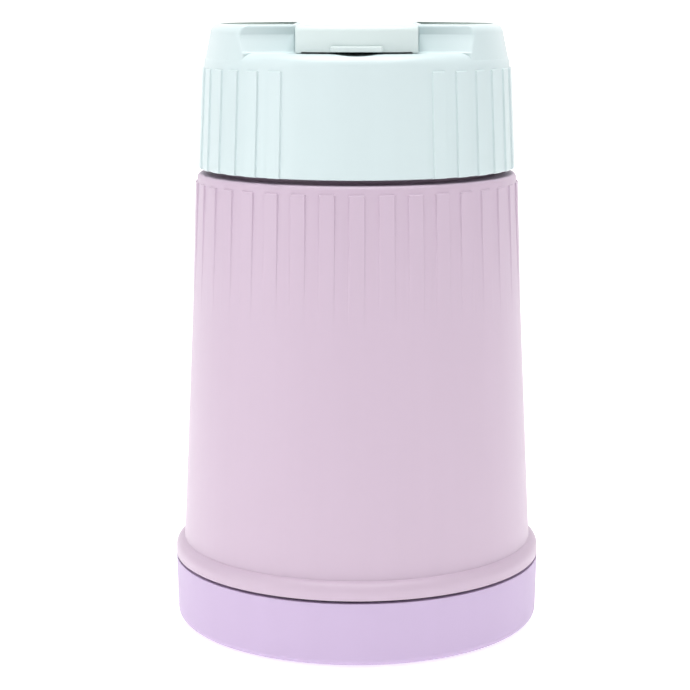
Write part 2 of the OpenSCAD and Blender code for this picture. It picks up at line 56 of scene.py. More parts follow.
# ---------------------------------------------------------------- sizes


def low(node):
    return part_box(node)[0]


def high(node):
    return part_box(node)[1]


def outer_r(node):
    """Outer radius of a round node, which is widest along X."""
    return high(node).x


# Ribs, which repeat round the jar and the lid
RIB_PITCH = math.radians(10)
RIB_HALF = math.radians(2.6)
RIB_EDGE = math.radians(0.17)
RIB_H = 0.5 * MM
RIB_END = 0.15 * MM
JAR_RIB_LEN = 37 * MM
JAR_RIB_DROP = 2.4 * MM
LID_RIB_DROP = 1 * MM
LID_SMOOTH = math.radians(27)

# Jar
JAR_Z = low("outer_shell").z
JAR_TOP = high("outer_shell").z
JAR_TOP_R = 46.2 * MM
JAR_FOOT_R = outer_r("outer_shell") - 2.3 * MM
SHELL_WALL = 2.2 * MM
SHELL_DECK_T = 2.4 * MM
SHELL_TOP_ROUND = 1.2 * MM
BEAD_H = 5.0 * MM
BEAD_ROUND = 3.2 * MM
SEAM_ROUND = 0.2 * MM

# Neck, chamber and canister
NECK_R = 38.8 * MM
NECK_BORE_R = 29.3 * MM
NECK_FLANGE_T = 2.3 * MM
NECK_WEB_T = 2.5 * MM
COLLAR_R = 50.1 * MM
COLLAR_WALL = 2 * MM
CHAMBER_FOOT_R = 46.0 * MM
CHAMBER_TOP_R = 41.4 * MM
CHAMBER_WALL = 1.6 * MM
CHAMBER_RIM_T = 2 * MM
CHAMBER_RIM_W = 2.6 * MM
CANISTER_R = 28 * MM
CANISTER_FOOT_R = 26 * MM
CANISTER_WALL = 0.9 * MM
CANISTER_FLANGE_T = 1.2 * MM
CANISTER_CORNER = 4 * MM
THREAD_H = 0.4 * MM
LID_THREAD_PITCH = 4 * MM
BASE_THREAD_PITCH = 3.8 * MM

# A lathed solid's flat cap starts this far from the axis
CAP_R = 0.6 * MM

# Lid
LID_Z = low("lid_shell").z
CROWN_Z = high("lid_shell").z
LEDGE_Z = low("spoon_cover").z - 0.5 * MM
LID_FOOT_R = 45.35 * MM
LID_DRAFT = 1.6 * MM
LID_WALL = 2.2 * MM
SHOULDER_R = 3.7 * MM
CROWN_FOOT_IN = 0.7 * MM
CROWN_LEAN = 1.0 * MM
CROWN_ROUND = 2.9 * MM
CROWN_CORNER = 0.9 * MM
BITE_ANGLE = math.radians(48)
BITE_LEAN = 2.6 * MM
CHANNEL_GAP = 0.3 * MM

# Spoon cover
COVER_HALF = high("spoon_cover").x
COVER_Z = low("spoon_cover").z
COVER_FOOT_Z = LEDGE_Z + 0.1 * MM
SLOT_HALF_W = 15 * MM
COVER_WALL = 1.8 * MM
COVER_SIDE_ROUND = 0.8 * MM
COVER_FRONT_ROUND = 2.0 * MM
COVER_FOOT_ROUND = 0.25 * MM
COVER_CORNER = 0.8 * MM
COVER_BACK_CORNER = 0.3 * MM
HINGE_Y = (low("cover_hinge_pin").y + high("cover_hinge_pin").y) / 2
HINGE_Z = (low("cover_hinge_pin").z + high("cover_hinge_pin").z) / 2
BARREL_R = high("spoon_cover").y - HINGE_Y
LIP_W = 14 * MM
LIP_H = 1.6 * MM
LIP_OUT = 1.4 * MM
COVER_FRONT_R = -low("spoon_cover").y - LIP_OUT
BITE_Y = COVER_FRONT_R - 15.1 * MM

# Spoon bay, a pocket in the lid
BAY_HALF_W = 14.7 * MM
BAY_FRONT = 6.6 * MM - COVER_FRONT_R
BAY_BACK = HINGE_Y - 5.5 * MM
BAY_DEPTH = 6.2 * MM
BAY_WALL = 1.6 * MM


def jar_wall_r(z):
    return JAR_FOOT_R + (JAR_TOP_R - JAR_FOOT_R) * (z - JAR_Z) / (JAR_TOP - JAR_Z)


def lid_wall_r(z):
    return LID_FOOT_R - LID_DRAFT * (z - LID_Z) / (LEDGE_Z - LID_Z)


# ---------------------------------------------------------------- outlines


def arc(centre, r, a0, a1, steps):
    """Points of an arc in a plane, angles in radians."""
    angles = np.linspace(a0, a1, steps + 1)
    return [(centre[0] + r * math.cos(a), centre[1] + r * math.sin(a)) for a in angles]


def rounded(points, closed=True, steps=5):
    """An outline whose corners are rounded. Each point is (x, y) or (x, y, radius)."""
    out = []
    n = len(points)
    for i, p in enumerate(points):
        radius = p[2] if len(p) > 2 else 0
        here = np.array(p[:2])
        if radius <= 0 or (not closed and i in (0, n - 1)):
            out.append(tuple(here))
            continue
        before = np.array(points[i - 1][:2]) - here
        after = np.array(points[(i + 1) % n][:2]) - here
        reach_before, reach_after = np.linalg.norm(before), np.linalg.norm(after)
        before, after = before / reach_before, after / reach_after
        half = math.acos(max(-1.0, min(1.0, float(before @ after)))) / 2
        reach = min(radius / math.tan(half), reach_before * 0.49, reach_after * 0.49)
        start, end = here + before * reach, here + after * reach
        for t in np.linspace(0, 1, steps + 1):
            # A rational quadratic through the corner is the exact arc between the tangent points
            weights = np.array([(1 - t) ** 2, 2 * t * (1 - t) * math.sin(half), t**2])
            weights /= weights.sum()
            out.append(tuple(weights[0] * start + weights[1] * here + weights[2] * end))
    return out


def subdivided(points, longest, closed=True):
    """The same outline with no side longer than the given length."""
    out = []
    n = len(points)
    for i in range(n if closed else n - 1):
        a, b = np.array(points[i]), np.array(points[(i + 1) % n])
        count = max(1, math.ceil(float(np.linalg.norm(b - a)) / longest))
        out += [tuple(a + (b - a) * k / count) for k in range(count)]
    if not closed:
        out.append(tuple(points[-1]))
    return out


def rounded_rect(half_w, half_d, radius, steps=6):
    """A rounded rectangle about the origin, as a loop that runs anticlockwise."""
    radius = min(radius, half_w, half_d)
    x, y = half_w - radius, half_d - radius
    loop = []
    for k, (cx, cy) in enumerate(((x, y), (-x, y), (-x, -y), (x, -y))):
        loop += arc((cx, cy), radius, k * math.pi / 2, (k + 1) * math.pi / 2, steps)
    return loop


# ---------------------------------------------------------------- meshes


def new_object(name, vertices, faces):
    mesh = bpy.data.meshes.new(name)
    mesh.from_pydata([tuple(v) for v in vertices], [], faces)
    mesh.validate()
    obj = bpy.data.objects.new(name, mesh)
    bpy.context.scene.collection.objects.link(obj)
    return obj


def smooth(obj, sharp_angle=35):
    """Smooth shading with hard edges above the given angle in degrees.

    Faces with more than eight corners stay flat.
    """
    bm = bmesh.new()
    bm.from_mesh(obj.data)
    bmesh.ops.remove_doubles(bm, verts=bm.verts, dist=1e-7)
    bmesh.ops.recalc_face_normals(bm, faces=bm.faces)
    limit = math.radians(sharp_angle)
    for face in bm.faces:
        face.smooth = len(face.verts) <= 8
    for edge in bm.edges:
        edge.smooth = len(edge.link_faces) == 2 and edge.calc_face_angle(0) < limit
    bm.to_mesh(obj.data)
    bm.free()
    return obj


def even_angles(count):
    return np.arange(count) * 2 * math.pi / count


def rib_angles():
    """Angles round the axis, close together at the edges of each rib."""
    edge = [RIB_HALF + RIB_EDGE * k for k in (-1.6, -1, -0.5, 0, 0.5, 1, 1.6)]
    half = [RIB_HALF * 0.45] + edge + [RIB_PITCH * 0.40]
    offsets = sorted([-h for h in half] + [0.0] + half + [RIB_PITCH / 2])
    count = round(2 * math.pi / RIB_PITCH)
    return np.concatenate([[FRONT + k * RIB_PITCH + d for d in offsets] for k in range(count)])


def lathe(name, outline, angles, closed=True, radius_of=None):
    """Turns an outline of (r, z) points about the Z axis. Ends that aren't closed get flat caps.

    radius_of(r, z, angle) may move points in or out, and gets arrays.
    """
    outline = np.array(outline)
    rows, columns = len(outline), len(angles)
    r = np.repeat(outline[:, :1], columns, axis=1)
    z = np.repeat(outline[:, 1:], columns, axis=1)
    turn = np.repeat(np.asarray(angles)[None, :], rows, axis=0)
    if radius_of is not None:
        r = radius_of(r, z, turn)
    vertices = np.stack([r * np.cos(turn), r * np.sin(turn), z], axis=-1).reshape(-1, 3)
    faces = []
    for i in range(rows if closed else rows - 1):
        a, b = i * columns, ((i + 1) % rows) * columns
        for j in range(columns):
            k = (j + 1) % columns
            faces.append((a + j, a + k, b + k, b + j))
    if not closed:
        faces.append(tuple(range(columns))[::-1])
        faces.append(tuple(range((rows - 1) * columns, rows * columns)))
    return smooth(new_object(name, vertices, faces))


def loft(name, loops):
    """A closed solid through a stack of loops with the same number of points."""
    count = len(loops[0])
    vertices = [p for loop in loops for p in loop]
    faces = []
    for i in range(len(loops) - 1):
        for j in range(count):
            k = (j + 1) % count
            faces.append((i * count + j, i * count + k, (i + 1) * count + k, (i + 1) * count + j))
    faces.append(tuple(range(count))[::-1])
    faces.append(tuple(range((len(loops) - 1) * count, len(loops) * count)))
    return smooth(new_object(name, vertices, faces))


def boolean(obj, other, operation):
    """obj after a UNION, DIFFERENCE or INTERSECT with other, which is used up."""
    modifier = obj.modifiers.new("boolean", "BOOLEAN")
    modifier.operation = operation
    modifier.solver = "EXACT"
    modifier.object = other
    graph = bpy.context.evaluated_depsgraph_get()
    result = bpy.data.meshes.new_from_object(obj.evaluated_get(graph))
    obj.modifiers.remove(modifier)
    obj.data = result
    bpy.data.objects.remove(other)
    return smooth(obj)


def top_rounding(z, top, radius):
    """How far a wall is drawn in at height z, where its upper edge has this radius."""
    up = max(z - (top - radius), 0)
    return radius - math.sqrt(max(radius**2 - up**2, 0))


def foot_rounding(z, bottom, radius):
    """The same for a wall's lower edge."""
    down = max(radius - (z - bottom), 0)
    return radius - math.sqrt(max(radius**2 - down**2, 0))


def edge_levels(bottom, top, radius_low, radius_high, steps=5):
    """(z, inset) pairs up a wall whose lower and upper edges are rounded."""
    levels = []
    if radius_low > 0:
        levels += [
            (bottom + radius_low * (1 - math.cos(a)), radius_low * (1 - math.sin(a)))
            for a in np.linspace(0, math.pi / 2, steps + 1)
        ]
    else:
        levels.append((bottom, 0))
    if radius_high > 0:
        levels += [
            (top - radius_high * (1 - math.sin(a)), radius_high * (1 - math.cos(a)))
            for a in np.linspace(0, math.pi / 2, steps + 1)
        ]
    else:
        levels.append((top, 0))
    return levels


# ---------------------------------------------------------------- ribs and threads


def soft_step(x, start, end):
    """0 up to the start, 1 from the end on, and smooth in between."""
    t = np.clip((x - start) / (end - start), 0, 1)
    return t * t * (3 - 2 * t)


def rib_profile(turn):
    """1 on a rib and 0 between ribs, with a soft step at the ribs' edges."""
    offset = np.abs((turn - FRONT + RIB_PITCH / 2) % RIB_PITCH - RIB_PITCH / 2)
    return soft_step(RIB_HALF + RIB_EDGE - offset, 0, 2 * RIB_EDGE)


def rib_end_rows(top):
    """Heights close together where the ribs end."""
    return [top + k * MM for k in (-0.3, -0.15, -0.07, 0, 0.07, 0.15, 0.3)]


def jar_ribs(r, z, turn):
    """The jar's ribs end squarely near its top and run into the wall at their lower end."""
    top = JAR_TOP - JAR_RIB_DROP
    height = np.clip((z - (top - JAR_RIB_LEN)) / JAR_RIB_LEN, 0, 1)
    height = height * (1 - soft_step(z, top - RIB_END, top + RIB_END))
    outside = r > jar_wall_r(z) - SHELL_WALL / 2
    return r + RIB_H * rib_profile(turn) * height * outside


def lid_ribs(r, z, turn):
    """The lid's ribs stand at its sides, and leave it smooth at the front and at the back."""
    top = LEDGE_Z - SHOULDER_R - LID_RIB_DROP
    from_front = np.abs((turn - FRONT + math.pi / 2) % math.pi - math.pi / 2)
    height = (from_front > LID_SMOOTH) * (1 - soft_step(z, top - RIB_END, top + RIB_END))
    outside = r > lid_wall_r(z) - LID_WALL / 2
    return r + RIB_H * rib_profile(turn) * height * outside


def thread(z0, z1, pitch, height):
    """A radius_of for lathe that raises a screw thread from z0 to z1. A nut's height is negative."""

    def radius_of(r, z, turn):
        phase = (z - z0) / pitch - turn / (2 * math.pi)
        across = np.abs((phase + 0.5) % 1 - 0.5)
        ridge = 1 - soft_step(across, 0.10, 0.26)
        ends = soft_step(z, z0, z0 + pitch / 2) * (1 - soft_step(z, z1 - pitch / 2, z1))
        return r + height * ridge * ends

    return radius_of


# ---------------------------------------------------------------- pieces of the jar


def build_outer_shell():
    bead_top = JAR_Z + BEAD_H
    foot_r = outer_r("outer_shell")
    opening_r = NECK_R + 0.4 * MM
    deck_z = JAR_TOP - SHELL_DECK_T
    collar_gap_r = outer_r("base_collar") - 0.1 * MM
    rib_top = JAR_TOP - JAR_RIB_DROP
    wall_rows = list(np.linspace(bead_top + 6 * MM, rib_top - 1 * MM, 34)) + rib_end_rows(rib_top)
    bead_mid_r = foot_r - BEAD_ROUND
    bead_end = math.acos((jar_wall_r(bead_top) - bead_mid_r) / BEAD_ROUND)
    bead_mid = (bead_mid_r, bead_top - BEAD_ROUND * math.sin(bead_end))
    bead = arc(bead_mid, BEAD_ROUND, 0, bead_end, 14)
    crease = (*bead.pop(), 0.25 * MM)
    outline = rounded(
        [(collar_gap_r, JAR_Z, 0.3 * MM), (foot_r, JAR_Z, SEAM_ROUND)]
        + bead
        + [crease, (jar_wall_r(bead_top + 4 * MM), bead_top + 4 * MM)]
        + [(jar_wall_r(z), z) for z in wall_rows]
        + [
            (jar_wall_r(JAR_TOP), JAR_TOP, SHELL_TOP_ROUND),
            (opening_r, JAR_TOP, 0.3 * MM),
            (opening_r, deck_z),
            (jar_wall_r(deck_z) - SHELL_WALL, deck_z),
            (jar_wall_r(bead_top) - SHELL_WALL, bead_top),
            (collar_gap_r, bead_top),
        ],
        steps=7,
    )
    return lathe("ribbed_jar_shell", outline, rib_angles(), radius_of=jar_ribs)


def build_neck_ring():
    flange_r = outer_r("neck_ring")
    z0, z1 = low("neck_ring").z, high("neck_ring").z
    inner_r = NECK_R - COLLAR_WALL
    flange_top, web_z = z0 + NECK_FLANGE_T, z1 - NECK_WEB_T
    thread_low, thread_high = LID_Z + 1.5 * MM, z1 - 2.5 * MM
    outline = rounded(
        [
            (inner_r, z0, 0.3 * MM),
            (flange_r, z0, 0.3 * MM),
            (flange_r, flange_top, 0.3 * MM),
            (NECK_R, flange_top, 0.3 * MM),
        ]
        + [(NECK_R, z) for z in np.linspace(thread_low, thread_high, 56)]
        + [
            (NECK_R, z1, 0.6 * MM),
            (NECK_BORE_R, z1, 0.5 * MM),
            (NECK_BORE_R, web_z, 0.4 * MM),
            (inner_r, web_z, 0.8 * MM),
        ]
    )
    screw = thread(thread_low, thread_high, LID_THREAD_PITCH, THREAD_H)

    def outside_only(r, z, turn):
        return np.where(r > NECK_R - COLLAR_WALL / 2, screw(r, z, turn), r)

    return lathe("threaded_neck", outline, even_angles(240), radius_of=outside_only)


def build_base_collar():
    r, wall = COLLAR_R, COLLAR_WALL
    z0, z1 = low("base_collar").z, high("base_collar").z
    shoulder_z = low("ice_chamber").z + CHAMBER_RIM_T
    shoulder_in = 46.15 * MM
    thread_low, thread_high = z0 + 0.8 * MM, z0 + 8.4 * MM
    outline = rounded(
        [(r - wall, z0, 0.4 * MM), (r, z0, 0.4 * MM)]
        + [(r, z) for z in np.linspace(thread_low, thread_high, 40)]
        + [
            (r, z1, 0.3 * MM),
            (r - wall, z1, 0.3 * MM),
            (r - wall, shoulder_z + wall, 0.5 * MM),
            (shoulder_in, shoulder_z + wall, 0.3 * MM),
            (shoulder_in, shoulder_z, 0.3 * MM),
            (r - wall, shoulder_z, 0.4 * MM),
        ]
    )
    screw = thread(thread_low, thread_high, BASE_THREAD_PITCH, THREAD_H)

    def outside_only(radius, z, turn):
        return np.where(radius > r - wall / 2, screw(radius, z, turn), radius)

    return lathe("threaded_base_collar", outline, even_angles(240), radius_of=outside_only)


def build_canister():
    flange_r = outer_r("canister")
    z0, z1 = low("canister").z, high("canister").z
    r, foot_r, wall = CANISTER_R, CANISTER_FOOT_R, CANISTER_WALL
    flange_z = z1 - CANISTER_FLANGE_T
    outline = rounded(
        [
            (CAP_R, z0),
            (foot_r + wall, z0, CANISTER_CORNER + wall),
            (r + wall, flange_z, 0.5 * MM),
            (flange_r, flange_z, 0.55 * MM),
            (flange_r, z1, 0.55 * MM),
            (r, z1, 0.9 * MM),
            (foot_r, z0 + wall, CANISTER_CORNER),
            (CAP_R, z0 + wall),
        ],
        closed=False,
        steps=8,
    )
    return lathe("spun_canister", outline, even_angles(192), closed=False)


def build_ice_chamber():
    z0, z1 = low("ice_chamber").z, high("ice_chamber").z
    low_rim_r, top_rim_r = outer_r("ice_chamber"), CHAMBER_TOP_R + CHAMBER_RIM_W
    low_rim_z, top_rim_z = z0 + CHAMBER_RIM_T, z1 - CHAMBER_RIM_T
    outline = rounded(
        [
            (CHAMBER_FOOT_R - CHAMBER_WALL, z0, 0.5 * MM),
            (low_rim_r, z0, 0.5 * MM),
            (low_rim_r, low_rim_z, 0.4 * MM),
            (CHAMBER_FOOT_R, low_rim_z, 0.6 * MM),
            (CHAMBER_TOP_R, top_rim_z, 0.4 * MM),
            (top_rim_r, top_rim_z, 0.3 * MM),
            (top_rim_r, z1, 0.3 * MM),
            (CHAMBER_TOP_R - CHAMBER_WALL, z1, 0.3 * MM),
        ]
    )
    return lathe("ice_chamber_wall", subdivided(outline, 12 * MM), even_angles(160))


# ---------------------------------------------------------------- pieces of the lid


def lid_outline():
    """The lid as a hollow cap: outer wall, shoulder and ledge, then the inner surface back down."""
    shoulder_z = LEDGE_Z - SHOULDER_R
    shoulder_r = lid_wall_r(shoulder_z)
    rib_top = shoulder_z - LID_RIB_DROP
    centre = (shoulder_r - SHOULDER_R, shoulder_z)
    cap_r = shoulder_r - SHOULDER_R - 2 * MM
    wall_rows = list(np.linspace(LID_Z + 1.5 * MM, rib_top - 1 * MM, 8)) + rib_end_rows(rib_top)
    outer = rounded(
        [(lid_wall_r(LID_Z) - LID_WALL, LID_Z, 0.4 * MM), (lid_wall_r(LID_Z), LID_Z, 0.5 * MM)]
        + [(lid_wall_r(z), z) for z in wall_rows]
        + [(shoulder_r, shoulder_z)],
        closed=False,
    )
    inner = arc(centre, SHOULDER_R - LID_WALL, math.pi / 2, 0, 6)
    return (
        [(cap_r, LEDGE_Z - LID_WALL)]
        + inner
        + outer
        + arc(centre, SHOULDER_R, 0, math.pi / 2, 14)[1:]
        + [(cap_r, LEDGE_Z)]
    )


def crown_radius(z):
    """Outer radius of the crown: it leans in from the wall, then rounds over to its flat top."""
    shoulder_z = LEDGE_Z - SHOULDER_R
    start_r = lid_wall_r(shoulder_z) - 0.05 * MM
    foot_r = lid_wall_r(LEDGE_Z) - CROWN_FOOT_IN
    bend_z = CROWN_Z - CROWN_ROUND
    if z < LEDGE_Z:
        return start_r + (foot_r - start_r) * (z - shoulder_z) / SHOULDER_R
    if z < bend_z:
        return foot_r - CROWN_LEAN * (z - LEDGE_Z) / (bend_z - LEDGE_Z)
    up = min(z - bend_z, CROWN_ROUND)
    return foot_r - CROWN_LEAN - CROWN_ROUND + math.sqrt(max(CROWN_ROUND**2 - up**2, 0))


def wing_loop(z, side_in, bite_in):
    """Outline of the crown's right half at a height, drawn in from the channel and the front wall."""
    big_r = crown_radius(z)
    channel_x = COVER_HALF + CHANNEL_GAP
    start = np.array([channel_x, -BITE_Y])
    end = np.array([LID_FOOT_R * math.sin(BITE_ANGLE), -LID_FOOT_R * math.cos(BITE_ANGLE)])
    along = (end - start) / np.linalg.norm(end - start)
    inward = np.array([-along[1], along[0]])
    rho = CROWN_CORNER
    x = channel_x + side_in + rho
    inner_y = start[1] + (rho + bite_in - inward[0] * (x - start[0])) / inward[1]
    inner = (x, inner_y)
    base = start + inward * (rho + bite_in)
    b = float(base @ along)
    t = -b + math.sqrt(b * b - float(base @ base) + (big_r - rho) ** 2)
    outer = base + along * t
    back = (x, math.sqrt((big_r - rho) ** 2 - x * x))
    wall_angle = math.atan2(-inward[1], -inward[0]) % (2 * math.pi)
    outer_angle = math.atan2(outer[1], outer[0])
    back_angle = math.atan2(back[1], back[0])
    loop = arc(inner, rho, math.pi, wall_angle, 6)
    front = arc(tuple(outer), rho, wall_angle, outer_angle + 2 * math.pi, 6)
    loop += subdivided([loop[-1], front[0]], 4 * MM, closed=False)[1:-1]
    loop += front
    loop += arc((0, 0), big_r, outer_angle, back_angle, 56)[1:-1]
    loop += arc(back, rho, back_angle, math.pi, 6)
    return [(px, py, z) for px, py in loop]


def wing_levels():
    """(z, channel inset, front wall inset) up the crown, with a small fillet at its foot."""
    edge, foot = 1.0 * MM, 0.5 * MM
    bend_z = CROWN_Z - CROWN_ROUND
    heights = [LEDGE_Z - 2.1 * MM, LEDGE_Z - 1 * MM, LEDGE_Z - 0.02 * MM]
    heights += [LEDGE_Z + h * MM for h in (0.06, 0.16, 0.3, 0.5, 1.5, 3.0)]
    heights += [bend_z + CROWN_ROUND * math.sin(a) for a in np.linspace(0, math.pi / 2, 15)]
    levels = []
    for z in heights:
        flare = foot_rounding(z, LEDGE_Z, foot)
        over = top_rounding(z, CROWN_Z, edge)
        lean = BITE_LEAN * min(max((z - LEDGE_Z) / (bend_z - LEDGE_Z), 0), 1)
        levels.append((z, over, over + lean - flare))
    return levels


def build_wing(side):
    loops = [wing_loop(*level) for level in wing_levels()]
    if side < 0:
        loops = [[(-x, y, z) for x, y, z in reversed(loop)] for loop in loops]
    return loft("wing", loops)


def rect_loops(centre, half_w, half_d, radius, levels):
    return [
        [
            (centre[0] + x, centre[1] + y, z)
            for x, y in rounded_rect(half_w - inset, half_d - inset, max(radius - inset, 0.1 * MM))
        ]
        for z, inset in levels
    ]


def build_bay(grow, levels):
    centre = (0, (BAY_FRONT + BAY_BACK) / 2)
    half_d = (BAY_BACK - BAY_FRONT) / 2
    return loft("bay", rect_loops(centre, BAY_HALF_W + grow, half_d + grow, 3 * MM + grow, levels))


def build_notch():
    """The scoop in the ledge under the thumb lip."""
    radius, depth = 30 * MM, 0.6 * MM
    centre_z = LEDGE_Z + radius - depth
    outline = arc((0, centre_z), radius, -math.pi / 2 + 0.01, -math.pi / 2 + 0.5, 48)
    scoop = lathe("notch", outline, even_angles(128), closed=False)
    scoop.location.y = -COVER_FRONT_R - LIP_OUT
    return scoop


def build_lid_shell():
    lid = lathe("ribbed_lid", lid_outline(), rib_angles(), closed=False, radius_of=lid_ribs)
    floor = LEDGE_Z - BAY_DEPTH
    mouth = 0.35 * MM
    block = [(floor - BAY_WALL, 0.8 * MM), (floor - BAY_WALL + 0.8 * MM, 0), (LEDGE_Z - 0.5 * MM, 0)]
    pocket = edge_levels(floor, LEDGE_Z - mouth, 1.0 * MM, 0)
    pocket += [
        (LEDGE_Z - mouth * (1 - math.sin(a)), -mouth * (1 - math.cos(a)))
        for a in np.linspace(0, math.pi / 2, 5)[1:]
    ]
    pocket.append((LEDGE_Z + 1 * MM, -mouth))
    boolean(lid, build_bay(BAY_WALL, block), "UNION")
    boolean(lid, build_wing(1), "UNION")
    boolean(lid, build_wing(-1), "UNION")
    boolean(lid, build_bay(0, pocket), "DIFFERENCE")
    boolean(lid, build_notch(), "DIFFERENCE")
    return lid


def cover_loop(z, side_in, front_in, back_y):
    """Outline of the cover at a height: curved front, straight sides, and its back at the hinge."""
    front_r = COVER_FRONT_R - front_in
    x = COVER_HALF - side_in
    rho, back_rho = COVER_CORNER, COVER_BACK_CORNER
    corner_y = -math.sqrt((front_r - rho) ** 2 - (x - rho) ** 2)
    angle = math.atan2(corner_y, x - rho)
    side_rows = np.linspace(-25 * MM, back_y - 2 * MM, 8)
    loop = arc((0, 0), front_r, -math.pi - angle, angle, 40)[:-1]
    loop += arc((x - rho, corner_y), rho, angle, 0, 6)
    loop += [(x, y) for y in side_rows]
    loop += arc((x - back_rho, back_y - back_rho), back_rho, 0, math.pi / 2, 3)
    loop += arc((-x + back_rho, back_y - back_rho), back_rho, math.pi / 2, math.pi, 3)
    loop += [(-x, y) for y in side_rows[::-1]]
    loop += arc((-x + rho, corner_y), rho, math.pi, math.pi - angle, 6)[:-1]
    return [(px, py, z) for px, py in loop]


def cover_levels():
    """Heights up the cover's wall, close together at its rounded edges."""
    foot_turns, top_turns = np.linspace(0, math.pi / 2, 4), np.linspace(0, math.pi / 2, 13)
    heights = [COVER_FOOT_Z + COVER_FOOT_ROUND * (1 - math.cos(a)) for a in foot_turns]
    heights += list(np.linspace(COVER_Z + 0.3 * MM, CROWN_Z - COVER_FRONT_ROUND, 9))
    return heights + [CROWN_Z - COVER_FRONT_ROUND * (1 - math.sin(a)) for a in top_turns[1:]]


def build_cover():
    loops = []
    for z in cover_levels():
        low_in = foot_rounding(z, COVER_FOOT_Z, COVER_FOOT_ROUND)
        side_in = top_rounding(z, CROWN_Z, COVER_SIDE_ROUND) + low_in
        front_in = top_rounding(z, CROWN_Z, COVER_FRONT_ROUND) + low_in
        back_y = HINGE_Y if z > HINGE_Z else HINGE_Y - BARREL_R
        loops.append(cover_loop(z, side_in, front_in, back_y))
    cover = loft("hinged_cover", loops)
    boolean(cover, build_cover_barrel(), "UNION")
    boolean(cover, build_cover_hollow(), "DIFFERENCE")
    boolean(cover, build_front_slot(), "DIFFERENCE")
    boolean(cover, build_thumb_lip(), "UNION")
    return cover


def build_cover_barrel():
    """The knuckle that the hinge pin runs in."""
    cap = 0.05 * MM
    side = [(BARREL_R, -COVER_HALF, 0.3 * MM), (BARREL_R, COVER_HALF, 0.3 * MM)]
    outline = rounded([(cap, -COVER_HALF)] + side + [(cap, COVER_HALF)], closed=False)
    barrel = lathe("cover_barrel", outline, even_angles(64), closed=False)
    barrel.rotation_euler = (0, math.pi / 2, 0)
    barrel.location = (0, HINGE_Y, HINGE_Z)
    return barrel


def build_front_slot():
    """The slot between the ledge and the cover's front, which ends short of its corners."""
    levels = [(LEDGE_Z - 1 * MM, 0), (COVER_Z, 0)]
    return loft("front_slot", rect_loops((0, -COVER_FRONT_R), SLOT_HALF_W, 8 * MM, 0.5 * MM, levels))


def build_cover_hollow():
    """The space under the cover, which the folded spoon fills."""
    top = CROWN_Z - COVER_WALL
    half_w = COVER_HALF - COVER_WALL
    back = HINGE_Y - BARREL_R - 1 * MM
    loops = []
    for z, inset in edge_levels(COVER_Z - 1 * MM, top, 0, 1 * MM):
        x, r = half_w - inset, COVER_FRONT_R - COVER_WALL - inset
        angle = math.atan2(-math.sqrt(r * r - x * x), x)
        loop = arc((0, 0), r, -math.pi - angle, angle, 32)
        loop += [(x, back - inset), (-x, back - inset)]
        loops.append([(px, py, z) for px, py in loop])
    return loft("cover_hollow", loops)


def build_thumb_lip():
    inner_r = COVER_FRONT_R - COVER_WALL / 2
    outer = COVER_FRONT_R + LIP_OUT
    half_d = (outer - inner_r) / 2
    loops = []
    for z, inset in edge_levels(COVER_Z + 0.02 * MM, COVER_Z + LIP_H, 0.35 * MM, 0.5 * MM):
        loop = []
        for x, y in rounded_rect(LIP_W / 2 - inset, half_d - inset, 0.9 * MM - inset * 0.5, 6):
            r = inner_r + half_d - y
            turn = FRONT + x / COVER_FRONT_R
            loop.append((r * math.cos(turn), r * math.sin(turn), z))
        loops.append(loop[::-1])
    return loft("thumb_lip", loops)


def build_lid_liner():
    r = outer_r("lid_liner")
    z0, z1 = low("lid_liner").z, high("lid_liner").z
    face_z = low("lid_gasket").z + 1 * MM
    groove_z = high("lid_gasket").z + 0.1 * MM
    gasket_out = outer_r("lid_gasket") + 0.1 * MM
    gasket_in = 28.7 * MM
    plug_r, plug_depth = 27 * MM, 6 * MM
    sleeve_r = 40.0 * MM
    thread_low, thread_high = LID_Z + 3 * MM, LID_Z + 11.5 * MM
    outline = rounded(
        [
            (CAP_R, face_z - plug_depth),
            (plug_r, face_z - plug_depth, 1.5 * MM),
            (plug_r, face_z, 0.4 * MM),
            (gasket_in, face_z, 0.2 * MM),
            (gasket_in, groove_z),
            (gasket_out, groove_z),
            (gasket_out, face_z, 0.2 * MM),
            (sleeve_r, face_z, 0.6 * MM),
        ]
        + [(sleeve_r, z) for z in np.linspace(thread_high, thread_low, 44)]
        + [
            (sleeve_r, z0, 0.4 * MM),
            (r, z0, 0.4 * MM),
            (r, z1, 0.3 * MM),
            (CAP_R, z1),
        ],
        closed=False,
    )
    screw = thread(thread_low, thread_high, LID_THREAD_PITCH, -THREAD_H)

    def inside_only(radius, z, turn):
        inside = (np.abs(radius - sleeve_r) < 0.05 * MM) & (z < thread_high + 1e-6)
        return np.where(inside, screw(radius, z, turn), radius)

    return lathe("lid_liner_moulding", outline, even_angles(240), closed=False, radius_of=inside_only)


# ---------------------------------------------------------------- spoon


def bar_loops(half_w, y0, y1, z0, z1, radius):
    half_d = (y1 - y0) / 2 + half_w
    return rect_loops((0, (y0 + y1) / 2), half_w, half_d, half_w, edge_levels(z0, z1, radius, radius, 3))


def build_spoon_handle():
    lo, hi = low("spoon_handle"), high("spoon_handle")
    half_w = hi.x
    loops = bar_loops(half_w, lo.y + half_w, hi.y - half_w, lo.z, hi.z, 0.4 * MM)
    handle = loft("spoon_handle_bar", loops)
    groove_centre = (0, (lo.y + hi.y) / 2 - 4 * MM)
    groove_half, groove_half_len = half_w * 0.5, 14 * MM
    levels = [(hi.z - 0.35 * MM, 0.6 * MM), (hi.z - 0.2 * MM, 0.15 * MM), (hi.z + 0.3 * MM, -0.2 * MM)]
    groove = loft("groove", rect_loops(groove_centre, groove_half, groove_half_len, groove_half, levels))
    return boolean(handle, groove, "DIFFERENCE")


